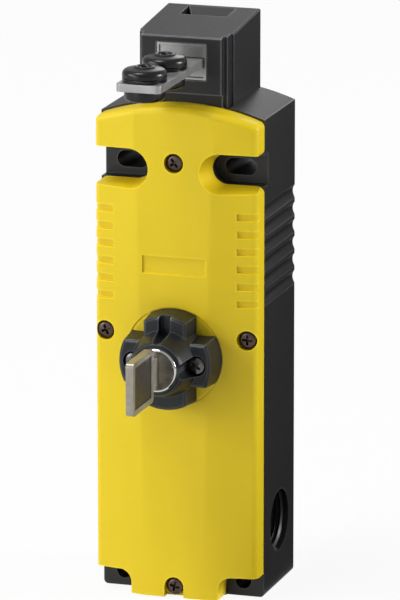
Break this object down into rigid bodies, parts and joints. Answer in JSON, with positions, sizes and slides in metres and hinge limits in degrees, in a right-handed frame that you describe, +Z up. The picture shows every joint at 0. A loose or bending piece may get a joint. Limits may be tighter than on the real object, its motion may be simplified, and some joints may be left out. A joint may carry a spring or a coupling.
{
  "type": "safety position switch",
  "caption": "Tall black safety position switch with a yellow cover, separate steel actuator in the head, solenoid lock and a key-operated release.",
  "frame": {"origin": "on the back mounting face, midway between the two lower fixing holes", "axes": "+Z up along the housing towards the head, +Y out of the back face into the mounting surface, +X to the right seen from the front"},
  "size_m": [0.054, 0.0882, 0.1853],
  "materials": {
    "housing_plastic": "satin glass-fibre filled black thermoplastic",
    "cover_plastic": "satin moulded yellow thermoplastic",
    "seal_rubber": "matte",
    "screw_steel": "dark plated steel",
    "head_plastic": "satin black thermoplastic",
    "inner_screw_steel": "zinc-plated steel",
    "guide_steel": "pressed stainless steel",
    "blade_steel": "rolled stainless steel",
    "bush_rubber": "satin black rubber",
    "sleeve_steel": "zinc-plated steel",
    "wheel_zinc": "die-cast zinc",
    "axle_steel": "ground steel",
    "plunger_plastic": "smooth red acetal",
    "bolt_steel": "turned steel",
    "armature_iron": "plated soft iron",
    "spring_steel": "drawn spring wire",
    "yoke_steel": "zinc-plated sheet steel",
    "bobbin_plastic": "natural thermoplastic",
    "winding_copper": "enamelled copper wire",
    "carrier_plastic": "grey thermoplastic",
    "block_plastic": "black thermoset",
    "terminal_brass": "nickel-plated brass",
    "earth_steel": "yellow-passivated steel",
    "lock_plastic": "satin black thermoplastic",
    "lock_screw_steel": "zinc-plated steel",
    "lock_chrome": "polished chrome",
    "cylinder_chrome": "satin nickel",
    "slide_steel": "zinc-plated sheet steel",
    "key_nickel": "nickel-plated brass"
  },
  "bodies": {
    "base": {"housing": "housing_plastic", "cover": "cover_plastic", "cover_seal": "seal_rubber", "cover_screws": "screw_steel", "head_casing": "head_plastic", "head_screws": "inner_screw_steel", "guide_plate": "guide_steel", "cam_axle": "axle_steel", "solenoid_yoke": "yoke_steel", "solenoid_bobbin": "bobbin_plastic", "solenoid_winding": "winding_copper", "carrier": "carrier_plastic", "carrier_screws": "inner_screw_steel", "contact_block_left": "block_plastic", "contact_block_right": "block_plastic", "supply_terminals": "block_plastic", "terminal_screws": "terminal_brass", "earth_terminal": "earth_steel", "lock_housing": "lock_plastic", "lock_screws": "lock_screw_steel", "lock_barrel": "lock_chrome"},
    "actuator": {"actuator_blade": "blade_steel", "front_bush": "bush_rubber", "rear_bush": "bush_rubber", "bush_sleeves": "sleeve_steel"},
    "wheel": {"cam_wheel": "wheel_zinc"},
    "plunger": {"position_plunger": "plunger_plastic"},
    "bolt": {"locking_bolt": "bolt_steel", "armature": "armature_iron", "return_spring": "spring_steel"},
    "lock_core": {"lock_cylinder": "cylinder_chrome", "retaining_clip": "spring_steel", "release_cam": "wheel_zinc"},
    "slide": {"release_slide": "slide_steel"},
    "lock_key": {"key": "key_nickel"}
  },
  "joints": [
    {"name": "actuator_withdraw", "type": "slide", "parent": "base", "child": "actuator", "axis": [0, -1, 0], "range_m": [0, 0.036]},
    {"name": "cam_turn", "type": "hinge", "parent": "base", "child": "wheel", "pos_m": [0, -0.0177, 0.1622], "axis": [1, 0, 0], "range_deg": [0, 65]},
    {"name": "plunger_press", "type": "slide", "parent": "base", "child": "plunger", "axis": [0, 0, -1], "range_m": [0, 0.0025]},
    {"name": "armature_lift", "type": "slide", "parent": "base", "child": "bolt", "axis": [0, 0, 1], "range_m": [0, 0.003], "stiffness_N_per_m": 300, "springref_m": -0.003, "deforming": ["return_spring"]},
    {"name": "key_turn", "type": "hinge", "parent": "base", "child": "lock_core", "pos_m": [0, -0.04, 0.075], "axis": [0, 1, 0], "range_deg": [0, 90]},
    {"name": "release_press", "type": "slide", "parent": "base", "child": "slide", "axis": [0, 0, -1], "range_m": [0, 0.0035]},
    {"name": "key_withdraw", "type": "slide", "parent": "lock_core", "child": "lock_key", "axis": [0, -1, 0], "range_m": [0, 0.022]}
  ],
  "couplings": [
    {"joint": "cam_turn", "follows": "actuator_withdraw", "rad_per_m": 31.513},
    {"joint": "plunger_press", "follows": "actuator_withdraw", "ratio": 0.069444},
    {"joint": "key_turn", "follows": "release_press", "rad_per_m": 448.79}
  ]
}
